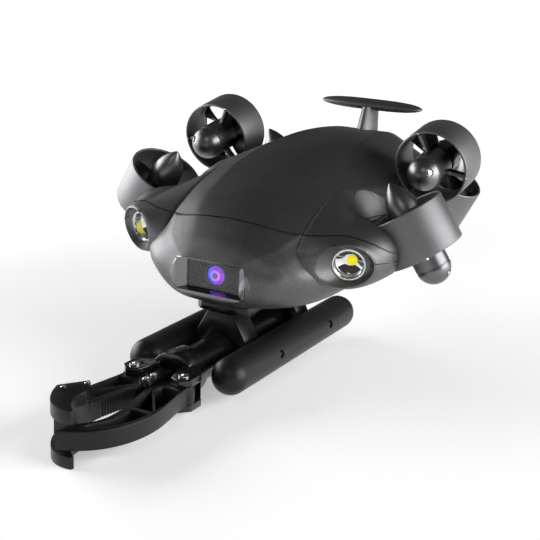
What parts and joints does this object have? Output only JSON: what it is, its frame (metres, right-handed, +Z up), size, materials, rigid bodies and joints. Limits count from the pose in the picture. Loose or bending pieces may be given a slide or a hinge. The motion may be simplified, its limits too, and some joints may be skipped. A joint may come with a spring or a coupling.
{
  "type": "underwater inspection ROV",
  "caption": "Compact underwater inspection vehicle with a smooth hull, ducted thrusters, front lights, nose camera, carrying handle and a gripper arm between floats.",
  "frame": {"origin": "bottom centre of the bounding box: the lowest point of the gripper at z = 0, the middle of the whole length at y = 0", "axes": "+Z up, the front with the camera and the gripper faces -Y, and +X is the side named right, as a viewer in front of the nose sees it"},
  "size_m": [0.331, 0.5682, 0.2014],
  "materials": {
    "hull_grey": "satin, fine speckle",
    "seal_rubber": "matte",
    "bezel_metal": "brushed",
    "clear_window": "clear",
    "black_plastic": "matte",
    "lens_coating": "polished, coated",
    "housing_metal": "machined",
    "battery_wrap": "shrink wrap",
    "board_green": "solder mask",
    "handle_grey": "satin",
    "winding_copper": "enamelled wire",
    "bearing_steel": "ground",
    "screw_steel": "bright",
    "mount_black": "satin",
    "arm_black": "satin",
    "float_black": "satin",
    "dark_screw": "blackened",
    "claw_black": "matte",
    "drive_steel": "machined",
    "socket_black": "anodised",
    "motor_steel": "plated",
    "reflector_chrome": "polished",
    "ring_metal": "polished",
    "emitter_yellow": "phosphor under a clear dome",
    "duct_grey": "satin",
    "pod_black": "glossy",
    "propeller_black": "glossy"
  },
  "bodies": {
    "hull": {"upper_hull_shell": "hull_grey", "lower_hull_shell": "hull_grey", "hull_seal": "seal_rubber", "camera_bezel": "bezel_metal", "camera_window": "clear_window", "camera_housing": "black_plastic", "camera_lens": "lens_coating", "pressure_housing": "housing_metal", "battery_pack": "battery_wrap", "control_board": "board_green", "handle_post": "handle_grey", "handle_blade": "handle_grey", "motor_windings": "winding_copper", "shaft_bearings": "bearing_steel", "duct_screws": "screw_steel", "belly_plate": "mount_black", "front_bracket": "mount_black", "rear_clamp": "mount_black", "arm_tube": "arm_black", "right_float": "float_black", "left_float": "float_black", "float_screws": "dark_screw", "gripper_yoke": "claw_black", "jaw_pivot_screws": "screw_steel", "tether_socket": "socket_black", "gripper_motor": "motor_steel", "hull_screws": "dark_screw", "right_light_reflector": "reflector_chrome", "right_light_ring": "ring_metal", "right_light_emitter": "emitter_yellow", "right_front_duct": "duct_grey", "right_front_motor_pod": "pod_black", "right_rear_duct": "duct_grey", "right_rear_motor_pod": "pod_black", "right_upper_duct": "duct_grey", "right_upper_motor_pod": "pod_black", "left_light_reflector": "reflector_chrome", "left_light_ring": "ring_metal", "left_light_emitter": "emitter_yellow", "left_front_duct": "duct_grey", "left_front_motor_pod": "pod_black", "left_rear_duct": "duct_grey", "left_rear_motor_pod": "pod_black", "left_upper_duct": "duct_grey", "left_upper_motor_pod": "pod_black"},
    "right_front_rotor": {"right_front_propeller": "propeller_black", "right_front_spinner": "pod_black"},
    "right_rear_rotor": {"right_rear_propeller": "propeller_black", "right_rear_spinner": "pod_black"},
    "right_upper_rotor": {"right_upper_propeller": "propeller_black", "right_upper_spinner": "pod_black"},
    "left_front_rotor": {"left_front_propeller": "propeller_black", "left_front_spinner": "pod_black"},
    "left_rear_rotor": {"left_rear_propeller": "propeller_black", "left_rear_spinner": "pod_black"},
    "left_upper_rotor": {"left_upper_propeller": "propeller_black", "left_upper_spinner": "pod_black"},
    "right_claw": {"right_jaw": "claw_black"},
    "left_claw": {"left_jaw": "claw_black"},
    "crosshead": {"drive_crosshead": "drive_steel"}
  },
  "joints": [
    {"name": "right_front_spin", "type": "hinge", "parent": "hull", "child": "right_front_rotor", "pos_m": [0.12468, 0.02213, 0.12636], "axis": [-0.5197, -0.1156, 0.8465], "continuous": true},
    {"name": "right_rear_spin", "type": "hinge", "parent": "hull", "child": "right_rear_rotor", "pos_m": [0.08511, 0.19361, 0.12262], "axis": [0.4607, -0.0663, 0.8851], "continuous": true},
    {"name": "right_upper_spin", "type": "hinge", "parent": "hull", "child": "right_upper_rotor", "pos_m": [0.1095, 0.11686, 0.16614], "axis": [0, 0.9857, 0.1685], "continuous": true},
    {"name": "left_front_spin", "type": "hinge", "parent": "hull", "child": "left_front_rotor", "pos_m": [-0.12468, 0.02213, 0.12636], "axis": [0.5197, -0.1156, 0.8465], "continuous": true},
    {"name": "left_rear_spin", "type": "hinge", "parent": "hull", "child": "left_rear_rotor", "pos_m": [-0.08511, 0.19361, 0.12262], "axis": [-0.4607, -0.0663, 0.8851], "continuous": true},
    {"name": "left_upper_spin", "type": "hinge", "parent": "hull", "child": "left_upper_rotor", "pos_m": [-0.1095, 0.11686, 0.16614], "axis": [0, 0.9857, 0.1685], "continuous": true},
    {"name": "right_jaw_pivot", "type": "hinge", "parent": "hull", "child": "right_claw", "pos_m": [0.0224, -0.1638, 0.019], "axis": [0, 0, 1], "range_deg": [0, 28]},
    {"name": "left_jaw_pivot", "type": "hinge", "parent": "hull", "child": "left_claw", "pos_m": [-0.0224, -0.1638, 0.019], "axis": [0, 0, 1], "range_deg": [-28, 0]},
    {"name": "crosshead_slide", "type": "slide", "parent": "hull", "child": "crosshead", "axis": [0, -1, 0], "range_m": [0, 0.011]}
  ],
  "couplings": [
    {"joint": "left_jaw_pivot", "follows": "right_jaw_pivot", "ratio": -1},
    {"joint": "crosshead_slide", "follows": "right_jaw_pivot", "m_per_rad": 0.0224}
  ]
}
